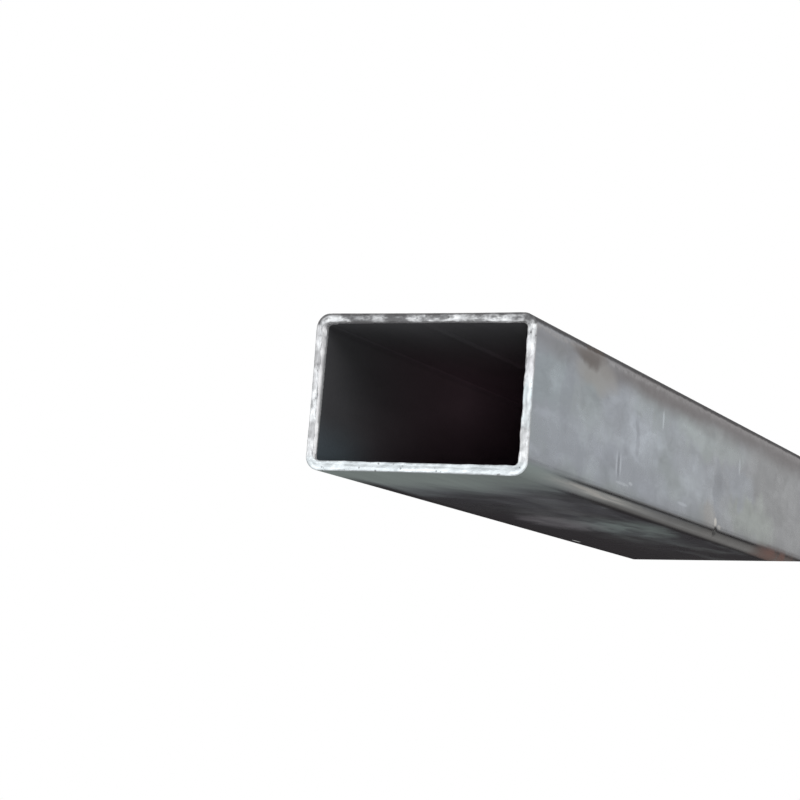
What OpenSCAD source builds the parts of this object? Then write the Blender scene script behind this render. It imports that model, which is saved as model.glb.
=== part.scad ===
// Rectangular steel tube: one straight length of cold-formed, seam-welded hollow
// section, lying on a wide face with both ends cut square.
//
// Frame: X across the wide faces, Y along the tube, Z up. The origin is under the
// middle of the tube, on the face that it lies on.

/* [Section] */
// Outside width, across the wide faces
section_w = 60; // [40:1:120]
// Outside height, between the wide faces
section_h = 40; // [25:1:100]
// Wall thickness
wall_t = 2.5; // [1.5:0.1:5]
// Inside radius of the four bends
bend_r = 1.25; // [0.5:0.25:4]

/* [Length] */
// Stock length, from cut end to cut end
stock_l = 1000; // [200:50:6000]

/* [Weld bead] */
// Width of the bead that the seam leaves inside the upper wall
bead_w = 3; // [2:0.5:6]
// Height that the bead stands proud of the inside of the wall
bead_h = 0.6; // [0.3:0.1:1]

/* [Hidden] */
$fn = 64;

steel = [0.36, 0.38, 0.41];

bore_w = section_w - 2 * wall_t;
bore_h = section_h - 2 * wall_t;
// The wall keeps its thickness round a bend, so both arcs share one centre.
outer_r = bend_r + wall_t;
// The bead's crown is an arc with the bead's width as its chord and its height as its rise.
crown_r = (bead_w * bead_w / 4 + bead_h * bead_h) / (2 * bead_h);

// Rectangle with round corners, centred on the axis of the tube.
module round_rectangle(w, h, r) {
    square([w - 2 * r, h], center = true);
    square([w, h - 2 * r], center = true);
    for (x = [-1, 1], y = [-1, 1])
        translate([x * (w / 2 - r), y * (h / 2 - r)]) circle(r);
}

// Hollow of the tube, with the bead hanging into it from the middle of the upper wall.
module bore_outline() {
    difference() {
        round_rectangle(bore_w, bore_h, bend_r);
        translate([0, bore_h / 2 - bead_h + crown_r]) circle(crown_r);
    }
}

// Cross-section of the wall.
module section() {
    difference() {
        round_rectangle(section_w, section_h, outer_r);
        bore_outline();
    }
}

// The whole length, laid along Y with its underside on the floor.
module tube() {
    color(steel)
        translate([0, 0, section_h / 2])
            rotate([90, 0, 0])
                linear_extrude(stock_l, center = true) section();
}

tube();
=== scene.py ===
"""Looks of a rectangular steel tube, one straight length of cold-formed hollow section.

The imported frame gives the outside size. The tube is modelled again over it as a fine mesh, so
that its sawn ends, rolled corners and inner weld bead are real shape. Three finishes dress it:
mill skin outside, dark scale in the bore and bright bare metal on the saw cuts.
"""

from __future__ import annotations

import logging
import math
from collections.abc import Callable
from dataclasses import dataclass, field
from enum import Enum
from functools import partial, reduce

import bmesh
import bpy
from mathutils import Matrix, Vector

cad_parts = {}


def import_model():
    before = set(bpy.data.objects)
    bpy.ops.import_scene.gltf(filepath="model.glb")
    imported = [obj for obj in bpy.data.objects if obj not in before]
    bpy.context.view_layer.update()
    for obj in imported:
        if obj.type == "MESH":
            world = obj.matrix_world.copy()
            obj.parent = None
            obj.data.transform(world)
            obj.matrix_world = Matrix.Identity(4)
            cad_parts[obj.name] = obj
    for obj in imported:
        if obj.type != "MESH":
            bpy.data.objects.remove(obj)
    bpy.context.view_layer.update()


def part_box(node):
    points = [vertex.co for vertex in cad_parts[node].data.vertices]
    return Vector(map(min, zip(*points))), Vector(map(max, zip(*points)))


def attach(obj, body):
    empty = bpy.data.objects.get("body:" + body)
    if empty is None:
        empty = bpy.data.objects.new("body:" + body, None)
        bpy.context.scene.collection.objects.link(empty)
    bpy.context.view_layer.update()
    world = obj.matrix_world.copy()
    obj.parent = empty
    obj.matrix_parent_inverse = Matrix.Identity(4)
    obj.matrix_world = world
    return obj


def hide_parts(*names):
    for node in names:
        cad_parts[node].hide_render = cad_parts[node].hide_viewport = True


log = logging.getLogger("steel_tube")

MM = 0.001
# A place counts as on a surface when it lies within this distance of it.
NEAR = 0.1 * MM
BAKE_MAP = "OFBake"
WRAP_MAP = "Wrap"

Colour = tuple[float, float, float]
Point = tuple[float, float, float]
Socket = bpy.types.NodeSocket
Input = Socket | float | Colour


class Zone(Enum):
    """Surfaces of the tube, valued by their material slot."""

    SKIN = 0
    BORE = 1
    CUT = 2


class End(Enum):
    """The two sawn ends, valued by the side of the origin that they lie on."""

    FRONT = -1
    BACK = 1


class Way(Enum):
    """Directions in which a relief moves a surface, named as the Displace modifier has them."""

    ACROSS = "X"
    ALONG = "Y"
    UP = "Z"
    OUT = "NORMAL"


@dataclass(frozen=True)
class Section:
    """Cross-section of the tube, in metres, standing on z = 0 and centred on x = 0."""

    width: float
    height: float
    wall: float = 2.5 * MM
    bend: float = 1.25 * MM
    bead_width: float = 3.0 * MM
    bead_height: float = 0.6 * MM

    @property
    def corner(self) -> float:
        """Outside radius of the four corners."""
        return self.bend + self.wall

    @property
    def flat_x(self) -> float:
        """Half of the straight stretch of a wide face."""
        return self.width / 2 - self.corner

    @property
    def flat_z(self) -> float:
        """Half of the straight stretch of a narrow face."""
        return self.height / 2 - self.corner

    @property
    def middle(self) -> float:
        """Height of the axis of the tube."""
        return self.height / 2

    @property
    def quarter(self) -> float:
        """Way round the outside from the middle of a wide face to that of a narrow one."""
        return self.flat_x + self.corner * math.pi / 2 + self.flat_z

    def past_flats(self, place: Vector) -> tuple[float, float]:
        """Measure how far a place lies past the ends of the flats.

        Args:
            place: A place in the wall.

        Returns:
            The overshoot across and up, each zero within its flat.
        """
        across = max(abs(place.x) - self.flat_x, 0.0)
        upward = max(abs(place.z - self.middle) - self.flat_z, 0.0)
        return across, upward

    def facing(self, place: Vector) -> tuple[float, float]:
        """Tell which way the wall faces at a place.

        Args:
            place: A place in the wall.

        Returns:
            The shares across and up, such as 1 and 0 on a narrow face.
        """
        across, upward = self.past_flats(place)
        size = math.hypot(across, upward)
        return across / size, upward / size

    def depth(self, place: Vector) -> float:
        """Measure how far a place lies below the outside face."""
        return self.corner - math.hypot(*self.past_flats(place))

    def inward(self, place: Vector) -> float:
        """Give the share of the wall over a place, from 0 outside to 1 inside."""
        return max(0.0, self.depth(place) / self.wall)

    def around(self, place: Vector) -> float:
        """Measure the way round the section to a place.

        Args:
            place: A place in the wall.

        Returns:
            The distance from the middle of the upper face, first towards +X.
        """
        across, upward = self.past_flats(place)
        arc = self.corner * (math.pi / 2 - math.atan2(upward, across))
        rise = abs(place.z - self.middle)
        way = min(abs(place.x), self.flat_x) + arc + self.flat_z - min(rise, self.flat_z)
        if place.z < self.middle:
            way = 2 * self.quarter - way
        return way if place.x >= 0 else 4 * self.quarter - way


def tent(value: float) -> float:
    """Fall evenly from 1 at zero to 0 at one, to either side."""
    return max(0.0, 1.0 - abs(value))


def hump(value: float) -> float:
    """Fall along an arc from 1 at zero to 0 at one, to either side."""
    return max(0.0, 1.0 - value * value)


class NodeBoard:
    """Node tree of one material or world, with short calls for the nodes that the looks share."""

    def __init__(self, owner: bpy.types.Material | bpy.types.World) -> None:
        """Take over the tree of a material or a world, and clear it.

        Args:
            owner: The material or the world.
        """
        owner.use_nodes = True
        self.tree = owner.node_tree
        self.tree.nodes.clear()

    def add(
        self, kind: str, inputs: dict[str | int, Input] | None = None, **settings: object
    ) -> bpy.types.Node:
        """Add a node.

        Args:
            kind: Name of the node's type.
            inputs: What feeds its sockets, by their names or numbers.
            settings: Properties to set on it.

        Returns:
            The new node.
        """
        node = self.tree.nodes.new(kind)
        for name, value in settings.items():
            setattr(node, name, value)
        for key, value in (inputs or {}).items():
            self.feed(node.inputs[key], value)
        return node

    def feed(self, socket: Socket, value: Input) -> None:
        """Link a socket to another, or set its own value.

        Args:
            socket: The socket that is fed.
            value: Another socket, a number or a colour.
        """
        if isinstance(value, Socket):
            self.tree.links.new(value, socket)
        elif isinstance(value, tuple) and len(socket.default_value) == 4:
            socket.default_value = (*value, 1.0)
        else:
            socket.default_value = value

    def maths(self, operation: str, *values: Input) -> Socket:
        """Work out a value with a Math node."""
        return self.add("ShaderNodeMath", dict(enumerate(values)), operation=operation).outputs[0]

    def plus(self, first: Input, second: Input) -> Socket:
        """Add two values."""
        return self.maths("ADD", first, second)

    def minus(self, first: Input, second: Input) -> Socket:
        """Take the second value from the first."""
        return self.maths("SUBTRACT", first, second)

    def ratio(self, first: Input, second: Input) -> Socket:
        """Divide the first value by the second."""
        return self.maths("DIVIDE", first, second)

    def away(self, value: Input, centre: float) -> Socket:
        """Measure how far a value lies from a centre, to either side."""
        return self.maths("ABSOLUTE", self.minus(value, centre))

    def product(self, *values: Input) -> Socket:
        """Multiply values together."""
        return reduce(partial(self.maths, "MULTIPLY"), values)

    def most(self, *values: Input) -> Socket:
        """Take the highest of several values."""
        return reduce(partial(self.maths, "MAXIMUM"), values)

    def inverse(self, value: Input) -> Socket:
        """Turn a share into what is left of one."""
        return self.minus(1.0, value)

    def between(
        self, value: Input, low: Input, high: Input, first: float = 0.0, last: float = 1.0
    ) -> Socket:
        """Ease from first to last as a value goes from low to high, which may be the lower one."""
        inputs = {"Value": value, "From Min": low, "From Max": high, "To Min": first, "To Max": last}
        return self.add("ShaderNodeMapRange", inputs, interpolation_type="SMOOTHSTEP").outputs["Result"]

    def spread(self, value: Input, low: float, high: float) -> Socket:
        """Stretch a share from 0 to 1 to run from low to high."""
        inputs = {"Value": value, "To Min": low, "To Max": high}
        return self.add("ShaderNodeMapRange", inputs, clamp=False).outputs["Result"]

    def band(self, value: Input, centre: float, inner: float, outer: float) -> Socket:
        """Pick out a soft band: 1 within inner of the centre, and 0 past outer."""
        return self.between(self.away(value, centre), outer, inner)

    def mix(self, share: Input, first: Input, second: Input) -> Socket:
        """Mix two colours."""
        return self.add("ShaderNodeMix", {0: share, 6: first, 7: second}, data_type="RGBA").outputs[2]

    def blend(self, share: Input, first: Input, second: Input) -> Socket:
        """Mix two numbers."""
        return self.add("ShaderNodeMix", {0: share, 2: first, 3: second}, data_type="FLOAT").outputs[0]

    def shade(self, colour: Input, by: Input) -> Socket:
        """Lighten or darken a colour by a factor."""
        return self.add("ShaderNodeVectorMath", {0: colour, "Scale": by}, operation="SCALE").outputs[0]

    def varied(self, colour: Input, pattern: Input, low: float, high: float) -> Socket:
        """Shade a colour by a factor that runs from low to high as a pattern goes from 0 to 1."""
        return self.shade(colour, self.spread(pattern, low, high))

    def find_place(self) -> Socket:
        """Give the place on the piece, in metres."""
        return self.add("ShaderNodeTexCoord").outputs["Object"]

    def split(self, vector: Socket) -> tuple[Socket, Socket, Socket]:
        """Split a vector into its three parts."""
        return tuple(self.add("ShaderNodeSeparateXYZ", {0: vector}).outputs)

    def stretched(self, vector: Socket, along: float = 1.0, across: float = 1.0) -> Socket:
        """Scale places in y and across it, so that a pattern runs long where the scale is low."""
        scale = (across, along, across)
        return self.add("ShaderNodeMapping", {"Vector": vector, "Scale": scale}).outputs[0]

    def turned(self, vector: Socket, angle: float) -> Socket:
        """Turn places about the upright axis, by an angle in degrees."""
        inputs = {"Vector": vector, "Angle": math.radians(angle)}
        return self.add("ShaderNodeVectorRotate", inputs, rotation_type="Z_AXIS").outputs[0]

    def warped(self, vector: Socket, size: float, reach: float) -> Socket:
        """Shift places about at random, so that what is drawn on them gets uneven edges.

        Args:
            vector: The places.
            size: Size of the shifts' pattern, in metres.
            reach: How far the places spread, in metres.

        Returns:
            The shifted places.
        """
        inputs = {"Vector": vector, "Scale": 1 / size, "Detail": 3.0}
        pattern = self.add("ShaderNodeTexNoise", inputs).outputs["Color"]
        inputs = {0: pattern, 1: (0.5, 0.5, 0.5)}
        centred = self.add("ShaderNodeVectorMath", inputs, operation="SUBTRACT").outputs[0]
        inputs = {0: centred, 1: (reach, reach, reach), 2: vector}
        return self.add("ShaderNodeVectorMath", inputs, operation="MULTIPLY_ADD").outputs[0]

    def noise(
        self,
        vector: Socket,
        size: float,
        detail: float = 2.0,
        rough: float = 0.5,
        along: float = 1.0,
        across: float = 1.0,
    ) -> Socket:
        """Add a noise pattern.

        Args:
            vector: Where the pattern is read.
            size: Size of its main features, in metres.
            detail: How many finer layers it has.
            rough: How strong the finer layers are.
            along: Scale of the places in y: a low one draws the pattern out along the tube.
            across: Scale of the places across y.

        Returns:
            The pattern, from 0 to 1 and mostly near a half.
        """
        places = self.stretched(vector, along, across)
        inputs = {"Vector": places, "Scale": 1 / size, "Detail": detail, "Roughness": rough}
        return self.add("ShaderNodeTexNoise", inputs).outputs[0]

    def cells(self, vector: Socket, size: float) -> Socket:
        """Give the distance from the nearest of many scattered points, in cell sizes."""
        return self.add("ShaderNodeTexVoronoi", {"Vector": vector, "Scale": 1 / size}).outputs["Distance"]

    def bump(self, height: Socket, rise: float) -> Socket:
        """Turn a height pattern into the normal of a relief, which rises by so many metres."""
        return self.add("ShaderNodeBump", {"Height": height, "Distance": rise}).outputs[0]


@dataclass(frozen=True)
class Mark:
    """A scuff, stain, patch or painted highlight: an oval with its place and half sizes in millimetres.

    On the right face it lies so far along from the front end and so far over the floor. On the
    underside it lies so far over to the right, and on a sawn end so far along to the right.
    """

    along: float
    over: float
    half_along: float
    half_over: float
    tone: Colour
    strength: float
    soft: float = 0.7


class Finish(NodeBoard):
    """A finish of the steel: a material whose colour is drawn layer by layer over the tube."""

    title = "finish"

    def __init__(self, section: Section, length: float) -> None:
        """Make the material and measure where on the tube its points lie.

        Args:
            section: Cross-section of the tube.
            length: Length of the tube.
        """
        self.material = bpy.data.materials.new(self.title)
        super().__init__(self.material)
        self.colour: Input = (0.0, 0.0, 0.0)
        self.section = section
        self.half = length / 2
        self.place = self.find_place()
        self.across, along, self.upward = self.split(self.place)
        self.from_front = self.plus(along, self.half)
        self.from_end = self.minus(self.half, self.away(along, 0.0))
        self.past_x = self.minus(self.away(self.across, 0.0), section.flat_x)
        self.past_z = self.minus(self.away(self.upward, section.middle), section.flat_z)
        # The turn is 0 where a narrow face meets its corner, and 1 where a wide face does.
        self.turn = self.ratio(self.maths("ARCTAN2", self.past_z, self.past_x), math.pi / 2)
        # The upper and lower halves meet in a soft border, and so do the left and right ones.
        self.upper = self.between(self.upward, 0.45 * section.height, 0.55 * section.height)
        self.lower = self.inverse(self.upper)
        self.right = self.between(self.across, -1.0 * MM, 1.0 * MM)

    def draw(self) -> bpy.types.Material:
        """Draw the finish and feed it to a Principled shader.

        Returns:
            The material.
        """
        shader = self.add("ShaderNodeBsdfPrincipled", self.sockets())
        self.add("ShaderNodeOutputMaterial", {"Surface": shader.outputs["BSDF"]})
        return self.material

    def sockets(self) -> dict[str, Input]:
        """Draw the layers and name what feeds each socket of the shader."""
        raise NotImplementedError

    def cover(self, share: Input, tone: Input) -> None:
        """Lay a tone over the colour that is drawn so far."""
        self.colour = self.mix(share, self.colour, tone)

    def vary(self, pattern: Input, low: float, high: float) -> None:
        """Shade the colour that is drawn so far, by low to high as a pattern goes from 0 to 1."""
        self.colour = self.varied(self.colour, pattern, low, high)

    def onward(self, start: float, stop: float, first: float = 0.0, last: float = 1.0) -> Socket:
        """Ease from first to last on the way from the front end, between two places in millimetres."""
        return self.between(self.from_front, start * MM, stop * MM, first, last)

    def mark(self, marks: tuple[Mark, ...], along: Socket, over: Socket, face: Socket) -> Socket:
        """Draw marks on a face.

        Args:
            marks: What is drawn.
            along: The way along the face.
            over: The way over the face.
            face: 1 on the face, and 0 off it.

        Returns:
            How much of the marks there is.
        """
        drawn = 0.0
        for mark in marks:
            out_along = self.ratio(self.minus(along, mark.along * MM), mark.half_along * MM)
            out_over = self.ratio(self.minus(over, mark.over * MM), mark.half_over * MM)
            away = self.plus(self.product(out_along, out_along), self.product(out_over, out_over))
            oval = self.between(away, 1.0 + mark.soft, 1.0 - mark.soft)
            share = self.product(oval, face, mark.strength)
            self.cover(share, mark.tone)
            drawn = self.most(drawn, share)
        return drawn


class MillSkin(Finish):
    """Outside of the tube: dull blue-grey rolled steel, stained along its upper corners, with painted
    shade and highlights along its corners and underside.
    """

    title = "mill_skin"
    blue: Colour = (0.262, 0.284, 0.318)
    green: Colour = (0.264, 0.297, 0.312)
    dim: Colour = (0.212, 0.23, 0.262)
    warm: Colour = (0.172, 0.173, 0.177)
    stain: Colour = (0.128, 0.117, 0.118)
    # Pale line along the top of the upper bend: rolled specks and a painted highlight.
    rolled_sheen: Colour = (0.27, 0.262, 0.262)
    # Painted shade: a near-black tone laid where the corners would be in shade or mirror dark
    # surroundings.
    painted_shade: Colour = (0.04, 0.038, 0.039)
    # Pale tone of the rubbed lower bend, which is wear and a painted highlight.
    wear_and_sheen: Colour = (0.40, 0.395, 0.385)
    # Dried film on the underside, which is also a painted reflection by the front end.
    film_and_sheen: Colour = (0.215, 0.252, 0.242)
    # Painted shade of the underside.
    underside_shade: Colour = (0.046, 0.04, 0.045)
    weld: Colour = (0.34, 0.345, 0.36)
    rust: Colour = (0.115, 0.05, 0.036)
    rust_along: float = 228 * MM
    patches: tuple[Mark, ...] = (
        Mark(11, 25, 14, 6, (0.27, 0.315, 0.34), 0.6),
        Mark(22, 13, 18, 8, (0.275, 0.296, 0.34), 0.6),
        Mark(84, 20, 16, 7, (0.34, 0.372, 0.415), 0.8),
        Mark(134, 16, 20, 5, (0.315, 0.345, 0.38), 0.6),
        Mark(66, 10, 40, 6, (0.242, 0.262, 0.302), 0.6),
        Mark(150, 30, 34, 6, (0.27, 0.31, 0.302), 0.6),
        Mark(196, 9.5, 26, 7.5, (0.25, 0.278, 0.256), 0.8),
        Mark(180, 19, 16, 4.5, (0.235, 0.26, 0.30), 0.55),
        Mark(24, 25, 3.5, 10, (0.22, 0.24, 0.275), 0.45),
        Mark(79, 22, 2.2, 6, (0.22, 0.24, 0.275), 0.6),
        Mark(150, 6.5, 7, 6.5, (0.29, 0.275, 0.255), 0.6, 0.95),
        Mark(157, 18, 5, 5.5, (0.18, 0.197, 0.225), 0.75),
    )
    stains: tuple[Mark, ...] = (
        Mark(44, 31.5, 15, 3.6, (0.265, 0.25, 0.228), 0.6, 0.95),
        Mark(38, 36.2, 12, 2.8, (0.07, 0.052, 0.042), 0.9, 0.9),
    )
    scuffs_and_glints: tuple[Mark, ...] = (
        Mark(65.0, 11.0, 0.8, 3.4, (0.15, 0.165, 0.19), 0.8),
        Mark(63.4, 11.6, 0.7, 3.2, (0.36, 0.39, 0.43), 0.8),
        Mark(66.6, 11.6, 0.7, 2.8, (0.36, 0.39, 0.43), 0.8),
        Mark(68.5, 6.6, 5.0, 0.4, (0.36, 0.39, 0.42), 0.8),
        Mark(75.5, 7.4, 1.6, 0.4, (0.38, 0.41, 0.44), 0.8),
        Mark(122, 7.2, 4.4, 0.5, (0.37, 0.40, 0.44), 0.8),
        Mark(100.4, 28.6, 0.7, 2.6, (0.40, 0.44, 0.47), 0.8),
        Mark(178.5, 25.4, 1.0, 2.6, (0.35, 0.38, 0.41), 0.7),
        # The next two pale marks are a painted highlight on the upper edge of the nick.
        Mark(155.6, 5.4, 1.3, 1.4, (0.58, 0.555, 0.51), 0.9),
        Mark(159.6, 4.3, 1.9, 0.7, (0.52, 0.51, 0.48), 0.8),
    )
    # Smears on the underside, partly painted reflections.
    smears: tuple[Mark, ...] = (
        Mark(130, 10, 26, 13, (0.255, 0.32, 0.30), 0.6, 0.98),
        Mark(119, -6, 22, 10, (0.29, 0.27, 0.29), 0.5, 0.98),
        Mark(95, 4, 16, 14, (0.25, 0.245, 0.25), 0.25, 0.98),
        Mark(66, 12, 28, 15, (0.25, 0.235, 0.25), 0.24, 0.98),
        Mark(165, 6, 18, 14, (0.26, 0.31, 0.30), 0.22, 0.98),
    )
    chips: tuple[Mark, ...] = (Mark(180, -23.6, 4, 0.45, (0.62, 0.63, 0.62), 0.95, 0.5),)

    def draw_tints(self) -> None:
        """Draw the broad tints of the skin, which is darker in a wide band round 270 mm from the front
        end.
        """
        clouds = self.noise(self.place, 20 * MM, 3.0, along=0.4)
        zones = self.noise(self.place, 160 * MM, 1.0, across=0.2)
        shifted = self.plus(self.from_front, self.spread(clouds, -80 * MM, 80 * MM))
        self.colour = self.mix(self.between(clouds, 0.42, 0.6), self.blue, self.green)
        self.cover(self.between(zones, 0.45, 0.65, 0.0, 0.5), self.dim)
        self.cover(self.product(self.band(shifted, 270 * MM, 45 * MM, 168 * MM), 0.85), self.warm)

    def draw_texture(self) -> None:
        """Shade the skin with wiped smears, smudges, roll streaks and grain."""
        bent = self.warped(self.stretched(self.place, along=0.4), 7 * MM, 8 * MM)
        smears = self.noise(bent, 8 * MM, 4.0, 0.6)
        smudges = self.noise(bent, 5 * MM, 3.0, across=0.6)
        self.vary(self.between(smears, 0.42, 0.68), 0.91, 1.16)
        self.vary(self.between(smudges, 0.5, 0.7), 1.0, 0.85)
        self.vary(self.noise(self.place, 2.5 * MM, along=0.04), 0.95, 1.05)
        self.vary(self.noise(self.place, 0.7 * MM, 3.0, 0.6), 0.97, 1.03)

    def draw_weld(self) -> None:
        """Draw the planed-off weld along the middle of the upper face."""
        fine = self.noise(self.place, 0.6 * MM, along=0.02)
        on_top = self.product(self.upper, self.between(self.turn, 1.2, 1.4))
        self.cover(self.product(self.band(self.across, 0.0, 3.0 * MM, 6.0 * MM), on_top, 0.35), self.dim)
        strip = self.product(self.band(self.across, 0.0, 2.2 * MM, 2.8 * MM), on_top, 0.7)
        self.cover(strip, self.varied(self.weld, fine, 0.7, 1.3))

    def scuff(self, marks: tuple[Mark, ...], size: float, reach: float) -> None:
        """Draw marks with uneven edges on the right face.

        Args:
            marks: What is drawn.
            size: How coarse their edges are.
            reach: How uneven their edges are.
        """
        _, along, upward = self.split(self.warped(self.place, size, reach))
        face = self.product(self.right, self.between(self.turn, 1.0, 0.6))
        self.mark(marks, self.plus(along, self.half), upward, face)

    def draw_upper_edge(self) -> tuple[Socket, Socket]:
        """Draw the upper corners: a stain, a pale line in it that is rolled specks and a painted
        highlight, and a painted dark reflection over the bend.

        Returns:
            How much stain there is, and how much painted shade.
        """
        uneven = self.noise(self.place, 9 * MM, 3.0, along=0.4)
        flecks = self.noise(self.place, 1.6 * MM, 4.0, 0.7, along=0.55)
        below = self.minus(self.section.height, self.upward)
        below = self.plus(below, self.spread(uneven, -3.2 * MM, 3.2 * MM))
        fade = self.between(self.turn, 1.08, 0.72)
        from_end = self.onward(4, 90, 0.5, 1.0)
        stain = self.product(self.between(below, 11 * MM, 4.5 * MM), fade, from_end)
        self.cover(stain, self.varied(self.stain, flecks, 0.75, 1.25))
        # A pale line at the top of the upper bend, rolled specks and a painted highlight, fading away
        # from the front end.
        line = self.product(self.band(self.turn, 0.07, 0.02, 0.16), self.upper)
        by_end = self.onward(10, 150, 0.85, 0.25)
        self.cover(self.product(line, self.between(flecks, 0.34, 0.66), by_end), self.rolled_sheen)
        ragged = self.plus(self.turn, self.spread(flecks, -0.12, 0.12))
        gaps = self.noise(self.place, 45 * MM, 3.0, 0.6, across=0.2)
        far_along = self.onward(300, 380)
        kept = self.inverse(self.product(far_along, self.between(gaps, 0.42, 0.62), 0.75))
        # A painted dark reflection over the upper corners' bend, broken up far along the tube.
        painted_shade = self.product(self.between(ragged, 0.19, 0.37), self.upper, fade, kept, 0.96)
        self.cover(painted_shade, self.painted_shade)
        return stain, painted_shade

    def draw_bend(self) -> None:
        """Draw the lower corners: painted shade on the side just above them, a pale band on the bend by
        the front end that is rubbed wear and a painted highlight, and painted shade on the bend beyond
        it.
        """
        scratches = self.noise(self.place, 0.7 * MM, 3.0, 0.6, along=0.04)
        # Painted shade along the foot of the side, just above the lower corners.
        self.cover(self.product(self.between(self.turn, -0.55, -0.02), self.lower, 0.28), self.painted_shade)
        bend = self.product(self.band(self.turn, 0.37, 0.07, 0.22), self.lower)
        beyond = self.onward(48, 125)
        by_end = self.onward(5, 34, 0.55, 1.0)
        streaked = self.between(scratches, 0.36, 0.62, 0.4, 1.15)
        # The pale band is rubbed wear and a painted highlight; past it the bend gets painted shade.
        self.cover(self.product(bend, streaked, self.inverse(beyond), by_end), self.wear_and_sheen)
        self.cover(self.product(bend, beyond, 0.8), self.painted_shade)
        wide_bend = self.product(self.band(self.turn, 0.37, 0.16, 0.3), self.lower)
        later = self.onward(140, 185, 0.0, 0.85)
        self.cover(self.product(wide_bend, later), self.painted_shade)

    def draw_lower_shade(self) -> None:
        """Paint shade on the lower corners: a dark line over the roll line above the bend, shade below
        the bend, and a dark line on the underside by the lower left corner.
        """
        uneven = self.noise(self.place, 3 * MM, 3.0, along=0.2)
        # A painted dark line over the roll line at the top of the lower bend.
        line = self.product(self.band(self.turn, 0.1, 0.04, 0.14), self.lower)
        by_end = self.onward(6, 60, 0.0, 0.85)
        self.cover(self.product(line, self.spread(uneven, 0.7, 1.1), by_end), self.painted_shade)
        # Painted shade where the lower corners turn under, and on the underside by the lower left corner.
        past_bend = self.product(self.between(self.turn, 0.44, 0.6), self.between(self.turn, 1.2, 1.0))
        from_end = self.onward(24, 70, 0.0, 0.92)
        below = self.product(past_bend, self.lower, from_end)
        left = self.product(self.lower, self.inverse(self.right))
        left_shade = self.product(self.band(self.turn, 1.2, 0.1, 0.3), left, 0.75)
        self.cover(self.most(below, left_shade), self.painted_shade)

    def find_film_and_sheen(self, bent: Socket, clouds: Socket, below: Socket) -> Socket:
        """Find where the dried film lies, which is also a painted reflection: thick by the front end, and
        a haze beyond it.

        Args:
            bent: The places, shifted about.
            clouds: Pattern of the haze.
            below: 1 on the underside, and 0 off it.

        Returns:
            How much film and painted reflection there is.
        """
        streaks = self.noise(self.turned(bent, 48), 11 * MM, along=0.2)
        reach = self.minus(self.from_front, self.spread(streaks, -14 * MM, 14 * MM))
        reach = self.plus(reach, self.between(self.across, 2 * MM, 24 * MM, 0.0, 9 * MM))
        by_left_edge = self.between(self.across, -20 * MM, -25 * MM)
        gone = self.product(by_left_edge, self.onward(8, 34))
        near = self.product(self.between(reach, 64 * MM, 16 * MM), self.inverse(gone))
        rightward = self.between(self.across, -16 * MM, 18 * MM, 0.0, 0.3)
        haze = self.product(self.between(clouds, 0.42, 0.68), rightward)
        by_end = self.onward(42, 4)
        corner = self.product(self.lower, self.between(self.turn, -0.15, 0.25), by_end)
        return self.most(self.product(self.most(near, haze), below), corner)

    def draw_underside(self) -> Socket:
        """Draw the underside: painted shade that deepens away from the front end and to the left, a dried
        film that is also a painted reflection by the front end, smears that are partly painted
        reflections, and chips.

        Returns:
            How much film and painted reflection, smears and chips there are.
        """
        bent = self.warped(self.place, 16 * MM, 10 * MM)
        clouds = self.noise(bent, 8 * MM, along=0.22)
        fine = self.noise(self.place, 2.4 * MM, along=0.06)
        below = self.product(self.lower, self.between(self.turn, 0.75, 1.05))
        leftward = self.between(self.across, 12 * MM, -26 * MM, 0.2, 0.8)
        # Painted shade on the underside, deeper away from the front end and to the left.
        self.cover(self.product(below, self.onward(50, 110), leftward), self.underside_shade)
        film_and_sheen = self.find_film_and_sheen(bent, clouds, below)
        # The film's tone is also a painted reflection, lighter by the front end.
        tone = self.varied(self.film_and_sheen, fine, 0.85, 1.15)
        self.cover(film_and_sheen, self.shade(tone, self.between(self.across, 2 * MM, 24 * MM, 1.0, 0.78)))
        across, along, _ = self.split(self.warped(bent, 5 * MM, 7 * MM))
        broken = self.product(below, self.between(clouds, 0.35, 0.6, 0.45, 1.0))
        smeared = self.mark(self.smears, self.plus(along, self.half), across, broken)
        chipped = self.mark(self.chips, self.from_front, self.across, below)
        return self.most(film_and_sheen, smeared, chipped)

    def draw_rust(self) -> Socket:
        """Draw the rust on the lower right corner.

        Returns:
            How much rust there is.
        """
        uneven = self.noise(self.place, 7 * MM, 4.0, 0.6)
        near = self.band(self.from_front, self.rust_along, 8 * MM, 36 * MM)
        low = self.band(self.upward, 0.5 * MM, 1.5 * MM, 5.0 * MM)
        corner = self.product(low, self.right, self.between(self.turn, 1.05, 0.75))
        rust = self.product(near, corner, self.between(uneven, 0.25, 0.55), 0.85)
        self.cover(rust, self.varied(self.rust, uneven, 0.6, 1.4))
        return rust

    def sockets(self) -> dict[str, Input]:
        """Draw the layers and name what feeds each socket of the shader.

        Returns:
            What feeds each socket, by the socket's name.
        """
        self.draw_tints()
        self.scuff(self.patches, size=9 * MM, reach=16 * MM)
        self.draw_texture()
        self.draw_weld()
        stain, painted_shade = self.draw_upper_edge()
        self.scuff(self.stains, size=13 * MM, reach=9 * MM)
        self.scuff(self.scuffs_and_glints, size=0.9 * MM, reach=0.7 * MM)
        self.draw_bend()
        self.draw_lower_shade()
        film_and_sheen = self.draw_underside()
        rust = self.draw_rust()
        dull = self.most(film_and_sheen, rust, self.product(stain, 0.35), painted_shade)
        blotches = self.noise(self.place, 11 * MM, 3.0)
        rough = self.blend(dull, self.spread(blotches, 0.2, 0.36), 0.62)
        grain = self.noise(self.place, 0.5 * MM, 3.0, 0.6)
        brushed = self.noise(self.place, 1.2 * MM, along=0.05)
        return {
            "Base Color": self.colour,
            "Metallic": self.spread(dull, 1.0, 0.1),
            "Roughness": self.blend(painted_shade, rough, 1.0),
            "Normal": self.bump(self.blend(0.4, grain, brushed), 0.02 * MM),
        }


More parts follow.
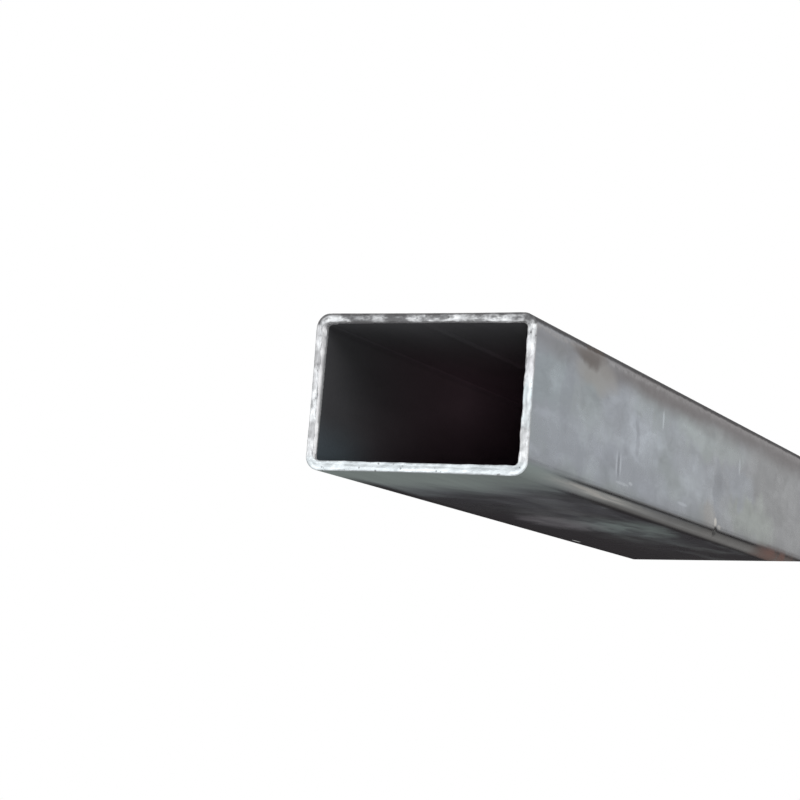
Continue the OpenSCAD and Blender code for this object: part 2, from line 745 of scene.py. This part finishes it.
class BoreScale(Finish):
    """Inside of the tube: dark rolling scale, filed bright at the mouths, with painted light and shade.
    """

    title = "bore_scale"
    scale: Colour = (0.062, 0.062, 0.066)
    # Bluish tint low down by the mouths, partly a painted sheen.
    blue: Colour = (0.075, 0.092, 0.105)
    # Painted light: lighter reddish tones that lift the dark deep inside the bore.
    deep: Colour = (0.115, 0.078, 0.094)
    far: Colour = (0.24, 0.15, 0.19)
    filed: Colour = (0.88, 0.88, 0.89)
    lip: float = 0.5 * MM
    left_lip: float = 0.5 * MM
    left_lip_top: float = 1.1 * MM

    def draw_scale(self) -> None:
        """Draw the scale: bluish low down by the mouths, which is a tint and a painted sheen, lifted by
        painted light to a lighter red deeper in, painted lighter overhead and on the bead, with painted
        shade in the inner corners.
        """
        height = self.section.height
        bead_width = self.section.bead_width
        by_mouth = self.between(self.from_end, 40 * MM, 8 * MM)
        ceiling = self.between(self.upward, height - 3.0 * MM, height - 2.6 * MM)
        strip = self.band(self.across, 0.0, 0.5 * bead_width, 0.6 * bead_width)
        bead = self.product(strip, self.between(self.upward, 0.5 * height, 0.6 * height))
        past_bends = (self.between(past, -0.9 * MM, 0.2 * MM) for past in (self.past_x, self.past_z))
        # Painted light: lighter and redder deeper in.
        self.colour = self.mix(self.between(self.from_end, 10 * MM, 90 * MM), self.scale, self.deep)
        self.cover(self.between(self.from_end, 70 * MM, 170 * MM), self.far)
        # Bluish and slightly lighter low down by the mouths: a tint and a painted sheen.
        self.cover(self.product(by_mouth, self.between(self.upward, 16 * MM, 5 * MM)), self.blue)
        # Painted light overhead and on the bead.
        self.vary(self.most(ceiling, bead), 1.0, 1.6)
        # Painted shade in the four inner corners.
        self.vary(self.product(*past_bends), 1.0, 0.84)
        self.vary(self.noise(self.place, 12 * MM, 4.0, 0.6, along=0.3), 0.75, 1.25)

    def find_lips(self, grain: Socket) -> Socket:
        """Find the filed lips of the mouths, which are wider on the left, and most so at the top.

        Args:
            grain: Pattern that makes their borders ragged.

        Returns:
            1 on the lips, and 0 off them.
        """
        width = self.section.width
        left = self.between(self.across, -0.4 * width, -0.42 * width)
        rise = self.ratio(self.upward, self.section.height)
        more = self.plus(self.left_lip, self.product(rise, self.left_lip_top))
        reach = self.plus(self.lip, self.product(left, more))
        ragged = self.plus(self.from_end, self.spread(grain, -0.5 * MM, 0.5 * MM))
        return self.between(self.ratio(ragged, reach), 1.15, 0.8)

    def sockets(self) -> dict[str, Input]:
        """Draw the layers and name what feeds each socket of the shader.

        Returns:
            What feeds each socket, by the socket's name.
        """
        grain = self.noise(self.place, 0.7 * MM, 3.0, 0.6)
        bright = self.find_lips(grain)
        self.draw_scale()
        self.vary(grain, 0.85, 1.15)
        self.cover(bright, self.varied(self.filed, grain, 0.8, 1.15))
        return {
            "Base Color": self.colour,
            "Metallic": self.blend(bright, 0.3, 0.8),
            "Roughness": self.blend(bright, 0.62, 0.45),
            "Normal": self.bump(grain, 0.05 * MM),
        }


class SawCut(Finish):
    """Sawn ends: bright bare metal, mottled, pitted and dull along the upper wall, with painted shade
    along the edges of the wall.
    """

    title = "saw_cut"
    bare: Colour = (0.66, 0.675, 0.695)
    bright: Colour = (0.87, 0.89, 0.905)
    pale: Colour = (0.70, 0.765, 0.795)
    grey: Colour = (0.33, 0.335, 0.345)
    dull: Colour = (0.16, 0.16, 0.165)
    # Painted shade along the edges of the sawn wall.
    edge: Colour = (0.09, 0.088, 0.09)
    pit: Colour = (0.11, 0.11, 0.11)
    patches: tuple[Mark, ...] = (
        Mark(-29, 31, 4, 9, (0.36, 0.355, 0.365), 0.55),
        Mark(-29, 10, 4, 2.6, (0.34, 0.34, 0.35), 0.65),
        Mark(29, 27, 4, 4, (0.50, 0.49, 0.515), 0.5),
        Mark(29, 8.5, 4, 3, (0.46, 0.465, 0.475), 0.6),
        Mark(29, 17.5, 4, 5.5, (0.67, 0.765, 0.80), 0.75),
        Mark(-12, 39, 11, 3, (0.13, 0.13, 0.135), 0.9),
        Mark(28.5, 39.5, 4.5, 2.5, (0.13, 0.13, 0.135), 0.85),
    )

    def __init__(self, section: Section, length: float) -> None:
        """Make the material, with the patterns that its layers share.

        Args:
            section: Cross-section of the tube.
            length: Length of the tube.
        """
        super().__init__(section, length)
        # The wrap holds the way round the section and the depth in the wall, in metres.
        self.wrap = self.add("ShaderNodeUVMap", uv_map=WRAP_MAP).outputs["UV"]
        self.mottle = self.noise(self.wrap, 1.6 * MM, 4.0, 0.65, across=0.5)
        self.lines = self.noise(self.wrap, 0.5 * MM, across=0.12)
        self.on_top = self.between(self.upward, section.height - 3.3 * MM, section.height - 2.4 * MM)

    def draw_metal(self) -> None:
        """Draw the bare metal: bright ridges, grey mottle, blots and saw lines."""
        ridges = self.noise(self.wrap, 0.75 * MM, 3.0, 0.6, across=0.2)
        blots = self.noise(self.wrap, 2.6 * MM, along=0.7, across=0.5)
        self.colour = self.mix(self.between(ridges, 0.42, 0.58), self.bare, self.bright)
        self.cover(self.between(self.mottle, 0.52, 0.7, 0.0, 0.85), self.grey)
        self.vary(self.between(blots, 0.38, 0.56), 0.68, 1.06)
        self.cover(self.between(self.upward, 4.5 * MM, 2.2 * MM, 0.0, 0.7), self.pale)
        self.vary(self.lines, 0.86, 1.1)

    def draw_patches(self) -> Socket:
        """Draw the patches, and the dull metal along the upper wall.

        Returns:
            How much dull metal there is.
        """
        streaks = self.noise(self.wrap, 2.2 * MM, 3.0, 0.6, along=0.6, across=0.35)
        across, _, upward = self.split(self.warped(self.place, 2.2 * MM, 5 * MM))
        self.mark(self.patches, across, upward, self.between(streaks, 0.4, 0.6, 1.0, 0.35))
        dulled = self.product(self.on_top, self.between(streaks, 0.54, 0.4, 0.0, 0.75))
        self.cover(dulled, self.dull)
        self.vary(self.on_top, 1.0, 0.86)
        return dulled

    def draw_edges(self) -> None:
        """Paint shade along the two edges of the wall, by more along the upper wall."""
        wall = self.section.wall
        _, depth, _ = self.split(self.wrap)
        ragged = self.plus(depth, self.spread(self.mottle, -0.5 * MM, 0.5 * MM))
        outer = self.between(ragged, 0.5 * MM, 0.05 * MM)
        inner = self.between(ragged, wall - 0.4 * MM, wall)
        wide_outer = self.between(ragged, 0.8 * MM, 0.3 * MM)
        wide_inner = self.between(ragged, wall - 0.6 * MM, wall - 0.15 * MM)
        # Painted shade along both edges of the wall.
        edges = self.product(self.most(outer, inner), 0.5)
        wide_edges = self.product(self.most(wide_outer, wide_inner), self.on_top, 0.9)
        self.cover(self.most(edges, wide_edges), self.edge)

    def draw_pits(self) -> None:
        """Draw small dark pits here and there."""
        holes = self.between(self.cells(self.wrap, 1.1 * MM), 0.34, 0.14)
        sparse = self.between(self.noise(self.wrap, 4 * MM, 1.0), 0.52, 0.6)
        self.cover(self.product(holes, sparse, 0.7), self.pit)

    def sockets(self) -> dict[str, Input]:
        """Draw the layers and name what feeds each socket of the shader.

        Returns:
            What feeds each socket, by the socket's name.
        """
        self.draw_metal()
        dulled = self.draw_patches()
        self.draw_edges()
        self.draw_pits()
        grain = self.noise(self.place, 0.35 * MM, 2.0, 0.6)
        return {
            "Base Color": self.colour,
            "Metallic": 1.0,
            "Roughness": self.blend(dulled, 0.4, 0.55),
            "Normal": self.bump(self.blend(0.5, self.lines, grain), 0.07 * MM),
        }


@dataclass(frozen=True)
class Relief:
    """A relief that a Displace modifier raises on part of the tube.

    Without a grain it is even. With one it follows a cloud pattern of that size and so many layers,
    raised where the pattern is over the level and sunk where it is under it.
    """

    name: str
    way: Way
    rise: float
    weight: Callable[[Vector], float]
    grain: float = 0.0
    layers: int = 2
    level: float = 0.0

    def weigh(self, piece: bpy.types.Object) -> None:
        """Write the relief's weights to a vertex group of its name.

        Args:
            piece: The piece that it is raised on.
        """
        group = piece.vertex_groups.new(name=self.name)
        for vertex in piece.data.vertices:
            weight = self.weight(vertex.co)
            if weight > 0:
                group.add([vertex.index], min(weight, 1.0), "REPLACE")

    def press(self, piece: bpy.types.Object) -> None:
        """Raise the relief and take its vertex group away.

        Args:
            piece: The piece that it is raised on.
        """
        modifier = piece.modifiers.new(self.name, "DISPLACE")
        modifier.vertex_group = self.name
        modifier.direction = self.way.value
        modifier.strength = self.rise
        modifier.mid_level = self.level
        modifier.texture_coords = "LOCAL"
        if self.grain:
            texture = bpy.data.textures.new(self.name, "CLOUDS")
            texture.noise_scale = self.grain
            texture.noise_depth = self.layers
            modifier.texture = texture
        bpy.ops.object.modifier_apply(modifier=modifier.name)
        piece.vertex_groups.remove(piece.vertex_groups[self.name])


@dataclass
class SteelTube:
    """The tube: its mesh, its reliefs and its three finishes."""

    section: Section
    length: float
    name: str = "steel_tube"
    node: str = "tube"
    slot: str = "steel"
    corner_steps: int = 14
    wide_cuts: int = 74
    narrow_cuts: int = 92
    rim_cuts: int = 7
    # The rings lie so many millimetres from an end, and those of the nick so many of its reaches.
    rings_near: tuple[float, ...] = (0.4, 0.8, 1.2, 1.6, 2.6, 4, 6, 9, 13, 18, 25, 35, 50, 70, 95)
    rings_far: tuple[float, ...] = (125, 160, 200, 250, 300, 350, 400, 450)
    nick_rings: tuple[float, ...] = (-1.0, -0.6, -0.3, 0.0, 0.3, 0.6, 1.0)
    nick_along: float = 156.0 * MM
    nick_up: float = 2.6 * MM
    nick_inset: float = 0.6 * MM
    nick_reach: float = 2.0 * MM
    bead_fade: float = 13.0 * MM
    burr_reach: float = 1.4 * MM
    chamfer_low: float = 0.45 * MM
    chamfer_high: float = 0.85 * MM
    chamfer_slope: float = 0.66
    roll_line_reach: float = 0.7 * MM
    # The groove's depth in the wall and its reach are shares of the wall's thickness.
    groove_depth: float = 0.45
    groove_reach: float = 0.3
    # Edges that bend by less than this, in degrees, look smooth.
    smooth_angle: float = 30.0
    finishes: dict[Zone, type[Finish]] = field(
        default_factory=lambda: {Zone.SKIN: MillSkin, Zone.BORE: BoreScale, Zone.CUT: SawCut}
    )

    def __post_init__(self) -> None:
        """Start with no mesh."""
        self.piece: bpy.types.Object | None = None

    @property
    def half(self) -> float:
        """Half of the length."""
        return self.length / 2

    @property
    def nick_spot(self) -> Vector:
        """Centre of the nick."""
        across = self.section.width / 2 - self.nick_inset
        return Vector((across, self.nick_along - self.half, self.nick_up))

    def build(self) -> None:
        """Model the tube as one mesh, outside, bore and cut ends."""
        self.add_block()
        self.round_corners()
        self.split_faces()
        self.cut_rings()
        self.thicken()
        self.split_rims()
        self.map_surfaces()
        self.press_reliefs()
        bpy.ops.object.shade_smooth_by_angle(angle=math.radians(self.smooth_angle))

    def dress(self) -> None:
        """Put the finishes in the slots of their zones and tie the piece to the frame."""
        for zone, finish in self.finishes.items():
            self.piece.data.materials[zone.value] = finish(self.section, self.length).draw()
        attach(self.piece, "root")
        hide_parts(self.node)
        log.info("%s: %d faces", self.name, len(self.piece.data.polygons))

    def edit(self, mode: str) -> None:
        """Go into edit mode, selecting by edge or face."""
        bpy.ops.object.mode_set(mode="EDIT")
        bpy.ops.mesh.select_mode(type=mode)

    def leave_edit(self) -> None:
        """Go back to object mode."""
        bpy.ops.object.mode_set(mode="OBJECT")

    def pick(self, kind: str, test: Callable[[bmesh.types.BMFace | bmesh.types.BMEdge], bool]) -> None:
        """Select the faces or edges that pass a test, and nothing else.

        Args:
            kind: Either faces or edges.
            test: Says whether an item is picked.
        """
        bpy.ops.mesh.select_all(action="DESELECT")
        mesh = bmesh.from_edit_mesh(self.piece.data)
        for item in getattr(mesh, kind):
            if test(item):
                item.select_set(True)
        bmesh.update_edit_mesh(self.piece.data)

    def add_block(self) -> None:
        """Add a block of the outside size, with a slot for each zone, and open its two ends."""
        bpy.ops.object.select_all(action="DESELECT")
        bpy.ops.mesh.primitive_cube_add(
            size=1.0,
            location=(0.0, 0.0, self.section.middle),
            scale=(self.section.width, self.length, self.section.height),
        )
        self.piece = bpy.context.object
        self.piece.name = self.name
        bpy.ops.object.transform_apply(location=True, rotation=True, scale=True)
        # The slots stay empty till the piece is dressed, but the wall needs them to sort its faces.
        for _ in Zone:
            self.piece.data.materials.append(None)
        self.edit("FACE")
        self.pick("faces", lambda face: abs(face.normal.y) > 0.9)
        bpy.ops.mesh.delete(type="ONLY_FACE")
        self.leave_edit()

    def round_corners(self) -> None:
        """Bevel the four long edges to the outside radius of the bends."""
        self.edit("EDGE")
        self.pick("edges", lambda edge: edge.calc_length() > 0.9 * self.length)
        bpy.ops.mesh.bevel(
            offset=self.section.corner,
            offset_type="OFFSET",
            segments=self.corner_steps,
            affect="EDGES",
            clamp_overlap=False,
        )
        self.leave_edit()

    def split_faces(self) -> None:
        """Split the flats into narrow strips, so that the ends get fine edges."""
        shortest = 2 * self.section.flat_z * 0.99
        longest = 2 * self.section.flat_x * 1.01
        middling = self.section.flat_x + self.section.flat_z
        self.edit("EDGE")
        self.pick("edges", lambda edge: middling < edge.calc_length() < longest)
        bpy.ops.mesh.subdivide(number_cuts=self.wide_cuts)
        # One call makes 100 cuts at most, so a second one halves the strips.
        bpy.ops.mesh.subdivide(number_cuts=1)
        self.pick("edges", lambda edge: shortest < edge.calc_length() < middling)
        bpy.ops.mesh.subdivide(number_cuts=self.narrow_cuts)
        self.leave_edit()

    def ring_places(self) -> list[float]:
        """List where rings of edges cross the tube: close at the ends and round the nick.

        Returns:
            The places along the tube, from the front.
        """
        places = [0.0]
        for end in End:
            for offset in self.rings_near + self.rings_far:
                places.append(end.value * (self.half - offset * MM))
        for step in self.nick_rings:
            places.append(self.nick_along - self.half + step * self.nick_reach)
        return sorted(places)

    def cut_rings(self) -> None:
        """Bisect the strips at each ring."""
        self.edit("EDGE")
        for along in self.ring_places():
            bpy.ops.mesh.select_all(action="SELECT")
            bpy.ops.mesh.bisect(plane_co=(0.0, along, 0.0), plane_no=(0.0, 1.0, 0.0))
        self.leave_edit()

    def thicken(self) -> None:
        """Give the skin its wall, which adds the bore and the two cut rims."""
        modifier = self.piece.modifiers.new("Wall", "SOLIDIFY")
        modifier.thickness = self.section.wall
        modifier.offset = -1.0
        modifier.use_even_offset = True
        modifier.material_offset = Zone.BORE.value
        modifier.material_offset_rim = Zone.CUT.value
        bpy.ops.object.modifier_apply(modifier=modifier.name)

    def split_rims(self) -> None:
        """Split the rims across the wall."""
        self.edit("EDGE")
        self.pick("edges", self.is_rim)
        bpy.ops.mesh.subdivide(number_cuts=self.rim_cuts)
        self.leave_edit()

    def is_rim(self, edge: bmesh.types.BMEdge) -> bool:
        """Tell whether an edge has only faces of a cut rim beside it."""
        return all(face.material_index == Zone.CUT.value for face in edge.link_faces)

    def map_surfaces(self) -> None:
        """Lay out two maps: one in real sizes for the patterns, and one that fills the bake's picture."""
        mesh = self.piece.data
        wrap = mesh.uv_layers.new(name=WRAP_MAP).data
        bake = mesh.uv_layers.new(name=BAKE_MAP).data
        round_trip = 4 * self.section.quarter
        for face in mesh.polygons:
            middle = self.section.around(face.center)
            for loop in face.loop_indices:
                place = mesh.vertices[mesh.loops[loop].vertex_index].co
                way = self.section.around(place)
                if middle - way > round_trip / 2:
                    way += round_trip
                elif way - middle > round_trip / 2:
                    way -= round_trip
                depth = self.section.depth(place)
                wrap[loop].uv = (way, depth)
                bake[loop].uv = self.bake_place(Zone(face.material_index), place, way / round_trip, depth)

    def bake_place(self, zone: Zone, place: Vector, share: float, depth: float) -> tuple[float, float]:
        """Find a place in the bake's picture: two thin strips for the rims, then skin and bore.

        Args:
            zone: The surface that the place is on.
            place: The place.
            share: Its share of the way round.
            depth: Its depth in the wall.

        Returns:
            Its place in the picture, from 0 to 1 each way.
        """
        margin = 0.004
        strip = 0.016
        wide = margin + share * (1 - 2 * margin)
        if zone is Zone.CUT:
            row = margin if place.y < 0 else strip + 3 * margin
            return wide, row + depth / self.section.wall * strip
        # The front quarter of the tube shows most, so it gets nearly half of the picture's width.
        front_share = 0.45
        front = 0.25 * self.length
        along = place.y + self.half
        if along < front:
            reach = front_share * along / front
        else:
            reach = front_share + (1 - front_share) * (along - front) / (self.length - front)
        floor = 2 * strip + 6 * margin
        half_room = (1 - floor - 2 * margin) / 2
        base = floor if zone is Zone.SKIN else floor + half_room + margin
        return margin + reach * (1 - 2 * margin), base + share * half_room

    def press_reliefs(self) -> None:
        """Weigh every relief on the plain shape, then raise them one after another."""
        reliefs = self.reliefs()
        for relief in reliefs:
            relief.weigh(self.piece)
        for relief in reliefs:
            relief.press(self.piece)

    def reliefs(self) -> list[Relief]:
        """List the reliefs: bead, rolled faces and corners, nick, and the sawn ends.

        Returns:
            The reliefs, in the order in which they are raised.
        """
        bead = self.section.bead_height
        filed = self.chamfer_high
        found = [
            Relief("bead", Way.UP, -bead, self.bead_weight),
            Relief("bead_ripple", Way.UP, -0.3 * bead, self.bead_weight, 5 * MM, level=0.5),
            Relief("dish", Way.OUT, -0.25 * MM, self.dish_weight, 70 * MM, layers=1),
            Relief("roll_line", Way.OUT, -0.05 * MM, self.roll_line_weight, 30 * MM, level=-0.3),
            Relief("nick", Way.OUT, -0.6 * MM, self.nick_weight),
            Relief("chamfer", Way.ACROSS, -filed, self.chamfer_weight, 1.8 * MM, level=-0.5),
            Relief("burr_sides", Way.ACROSS, 0.55 * MM, self.side_burr_weight, 3.2 * MM, level=0.5),
            Relief("burr_levels", Way.UP, 0.4 * MM, self.level_burr_weight, 5.5 * MM, level=0.5),
        ]
        for end in End:
            inward = -end.value * MM
            label = end.name.lower()
            on_face = partial(self.face_weight, end)
            in_groove = partial(self.groove_weight, end)
            found += [
                Relief(label + "_uneven", Way.ALONG, 0.2 * inward, on_face, 2.4 * MM),
                Relief(label + "_grain", Way.ALONG, 0.12 * inward, on_face, 0.8 * MM),
                Relief(label + "_groove", Way.ALONG, 0.2 * inward, in_groove, 4 * MM, layers=1),
            ]
        return found

    def from_end(self, place: Vector) -> float:
        """Measure how far a place lies from the nearer end."""
        return self.half - abs(place.y)

    def skin_weight(self, place: Vector) -> float:
        """Pick the places on the outside."""
        return float(self.section.depth(place) <= NEAR)

    def face_weight(self, end: End, place: Vector) -> float:
        """Pick the places on the face of an end."""
        return float(place.y * end.value > self.half - NEAR)

    def groove_weight(self, end: End, place: Vector) -> float:
        """Weigh the groove that the saw leaves round the middle of the wall at an end."""
        past_middle = self.section.depth(place) / self.section.wall - self.groove_depth
        return tent(past_middle / self.groove_reach) * self.face_weight(end, place)

    def bead_weight(self, place: Vector) -> float:
        """Weigh the weld bead: an arc inside the upper wall, filed away towards the mouths."""
        arc = hump(2 * place.x / self.section.bead_width) * float(place.z > self.section.middle)
        return arc * self.section.inward(place) ** 2 * min(1.0, self.from_end(place) / self.bead_fade)

    def burr_weight(self, place: Vector) -> float:
        """Weigh the uneven inner edge that the saw leaves round a mouth."""
        return tent(self.from_end(place) / self.burr_reach) * self.section.inward(place) ** 2

    def side_burr_weight(self, place: Vector) -> float:
        """Weigh the uneven inner edges of the narrow walls."""
        return self.burr_weight(place) * self.section.facing(place)[0]

    def level_burr_weight(self, place: Vector) -> float:
        """Weigh the uneven inner edges of the wide walls."""
        return self.burr_weight(place) * self.section.facing(place)[1]

    def chamfer_weight(self, place: Vector) -> float:
        """Weigh the filed inner edge of the left wall at the front, which is wider towards the top.

        Args:
            place: A place in the wall.

        Returns:
            The weight, from 0 to 1.
        """
        if place.x > 0 or place.y > 0:
            return 0.0
        rise = place.z / self.section.height
        deep = self.chamfer_low + (self.chamfer_high - self.chamfer_low) * rise
        along = tent(self.from_end(place) * self.chamfer_slope / deep)
        facing_side, _ = self.section.facing(place)
        return deep / self.chamfer_high * along * self.section.inward(place) ** 2 * facing_side

    def dish_weight(self, place: Vector) -> float:
        """Weigh the slight hollow of the rolled faces, away from the corners."""
        rise = (place.z - self.section.middle) / self.section.flat_z
        return max(hump(place.x / self.section.flat_x), hump(rise)) * self.skin_weight(place)

    def roll_line_weight(self, place: Vector) -> float:
        """Weigh the shallow line that the rolls leave where a corner meets a flat.

        Args:
            place: A place in the wall.

        Returns:
            The weight, from 0 to 1.
        """
        from_x = abs(abs(place.x) - self.section.flat_x)
        from_z = abs(abs(place.z - self.section.middle) - self.section.flat_z)
        return tent(min(from_x, from_z) / self.roll_line_reach) * self.skin_weight(place)

    def nick_weight(self, place: Vector) -> float:
        """Weigh the nick in the lower right corner."""
        return tent((place - self.nick_spot).length / self.nick_reach) ** 2 * self.skin_weight(place)


@dataclass(frozen=True)
class Lamp:
    """A square soft lamp: its place and the length of its sides in metres, its power in watts."""

    name: str
    place: Point
    size: float
    power: float
    mirrored: bool = False

    def hang(self, target: Vector) -> None:
        """Hang the lamp so that it shines on a target.

        Args:
            target: What it shines on.
        """
        data = bpy.data.lights.new(self.name, "AREA")
        data.size = self.size
        data.energy = self.power
        lamp = bpy.data.objects.new(self.name, data)
        bpy.context.scene.collection.objects.link(lamp)
        lamp.location = self.place
        lamp.rotation_euler = (target - Vector(self.place)).to_track_quat("-Z", "Y").to_euler()
        lamp.visible_camera = False
        lamp.visible_glossy = self.mirrored


@dataclass
class Studio:
    """The stage: a pale floor, a soft white surround, three lamps and the camera."""

    section: Section
    floor_reach: float = 14.0
    floor_drop: float = 0.4 * MM
    floor_tone: Colour = (0.86, 0.86, 0.86)
    fade_start: float = 0.9
    fade_end: float = 3.0
    rest_along: float = -267.0 * MM
    rest_angle: float = -19.7
    white: Colour = (1.0, 1.0, 1.0)
    sky: Colour = (0.82, 0.83, 0.85)
    ground: Colour = (0.7, 0.7, 0.7)
    yard: Colour = (0.054, 0.049, 0.053)
    open_yard: Colour = (0.66, 0.65, 0.63)
    lamps: tuple[Lamp, ...] = (
        Lamp("key_lamp", (1.9, -2.3, 1.5), 1.6, 40.0),
        Lamp("front_lamp", (-1.5, -2.8, 0.9), 1.8, 9.0, mirrored=True),
        Lamp("eye_lamp", (1.15, -2.9, -0.42), 0.6, 26.0),
    )
    # The camera's angles are in degrees, and its lens and sensor in millimetres.
    eye: Point = (220.7 * MM, -973.9 * MM, -54.6 * MM)
    azimuth: float = 25.47
    rise: float = 7.88
    roll: float = 4.45
    lens: float = 96.5
    sensor: float = 36.0

    def build(self) -> None:
        """Make the surround, the floor, the lamps and the camera."""
        self.add_world()
        self.add_floor()
        for lamp in self.lamps:
            lamp.hang(Vector((0.0, 0.0, self.section.middle)))
        self.add_camera()

    def add_world(self) -> None:
        """Make the surround: white for the camera and for reflections, over a darker ground."""
        world = bpy.data.worlds.new("studio")
        bpy.context.scene.world = world
        board = NodeBoard(world)
        side, ahead, up = board.split(board.add("ShaderNodeTexCoord").outputs["Generated"])
        path = board.add("ShaderNodeLightPath").outputs
        before = board.between(ahead, 0.4, 0.7)
        over = board.between(up, board.spread(before, -0.03, 0.0), board.spread(before, 0.03, 0.11))
        opened = board.product(board.between(up, -0.05, -0.18), board.between(side, -0.22, 0.02))
        yard = board.mix(opened, self.yard, self.open_yard)
        light = board.mix(over, board.mix(before, self.ground, yard), self.sky)
        mirrored = board.product(board.most(path["Is Glossy Ray"], path["Is Transmission Ray"]), over)
        colour = board.mix(board.most(path["Is Camera Ray"], mirrored), light, self.white)
        back = board.add("ShaderNodeBackground", {"Color": colour})
        board.add("ShaderNodeOutputWorld", {"Surface": back.outputs[0]})

    def add_floor(self) -> None:
        """Lay the floor under the tube.

        The camera looks up from below the floor. In front of the rest line the floor is clear from
        below, and behind it the floor is white from below too. It lights nothing, so the underside
        of the tube keeps the tone of the ground.
        """
        bpy.ops.object.select_all(action="DESELECT")
        bpy.ops.mesh.primitive_plane_add(size=2 * self.floor_reach, location=(0.0, 0.0, -self.floor_drop))
        floor = bpy.context.object
        floor.name = "floor"
        bpy.ops.object.transform_apply(location=True, rotation=True, scale=True)
        angle = math.radians(self.rest_angle)
        across = Vector((-math.sin(angle), math.cos(angle), 0.0))
        start = Vector((0.0, self.rest_along, 0.0))
        bpy.ops.object.mode_set(mode="EDIT")
        bpy.ops.mesh.select_all(action="SELECT")
        bpy.ops.mesh.bisect(plane_co=start, plane_no=across)
        bpy.ops.object.mode_set(mode="OBJECT")
        floor.data.materials.append(self.floor_material("floor_front", clear_below=True))
        floor.data.materials.append(self.floor_material("floor_back", clear_below=False))
        for face in floor.data.polygons:
            face.material_index = int((face.center - start).dot(across) > 0)
        floor.visible_diffuse = False
        floor.visible_glossy = False
        floor.visible_transmission = False
        floor.visible_shadow = False

    def floor_material(self, name: str, clear_below: bool) -> bpy.types.Material:
        """Make the floor's material, which fades to white far from the tube.

        Args:
            name: Name of the material.
            clear_below: Whether the camera sees through it from below.

        Returns:
            The new material.
        """
        material = bpy.data.materials.new(name)
        board = NodeBoard(material)
        across, along, _ = board.split(board.find_place())
        squares = board.plus(board.product(across, across), board.product(along, along))
        fade = board.between(board.maths("SQRT", squares), self.fade_start, self.fade_end)
        matt = board.add("ShaderNodeBsdfDiffuse", {"Color": self.floor_tone}).outputs[0]
        white = board.add("ShaderNodeEmission").outputs[0]
        clear = board.add("ShaderNodeBsdfTransparent").outputs[0]
        above = board.add("ShaderNodeMixShader", {0: fade, 1: matt, 2: white}).outputs[0]
        below = clear if clear_below else white
        turned_away = board.add("ShaderNodeNewGeometry").outputs["Backfacing"]
        sides = board.add("ShaderNodeMixShader", {0: turned_away, 1: above, 2: below}).outputs[0]
        board.add("ShaderNodeOutputMaterial", {"Surface": sides})
        return material

    def add_camera(self) -> None:
        """Set the camera up where the photograph was taken: low, to the right, slightly rolled."""
        turn, pitch, lean = (math.radians(angle) for angle in (self.azimuth, self.rise, self.roll))
        ahead = Vector((-math.sin(turn), math.cos(turn), 0.0))
        level = Vector((math.cos(turn), math.sin(turn), 0.0))
        forward = ahead * math.cos(pitch) + Vector((0.0, 0.0, math.sin(pitch)))
        upright = level.cross(forward)
        right = level * math.cos(lean) + upright * math.sin(lean)
        up = upright * math.cos(lean) - level * math.sin(lean)
        data = bpy.data.cameras.new("camera")
        data.sensor_width = self.sensor
        data.lens = self.lens
        camera = bpy.data.objects.new("camera", data)
        bpy.context.scene.collection.objects.link(camera)
        frame = Matrix((right, up, -forward)).transposed().to_4x4()
        camera.matrix_world = Matrix.Translation(self.eye) @ frame
        bpy.context.scene.camera = camera


def main() -> None:
    """Load the frame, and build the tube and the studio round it."""
    logging.basicConfig(level=logging.INFO, format="%(name)s: %(message)s")
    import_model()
    bpy.context.scene.view_settings.view_transform = "Standard"
    low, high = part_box("tube")
    section = Section(width=high.x - low.x, height=high.z - low.z)
    tube = SteelTube(section, length=high.y - low.y)
    tube.build()
    tube.dress()
    Studio(section).build()


if __name__ == "__main__":
    main()
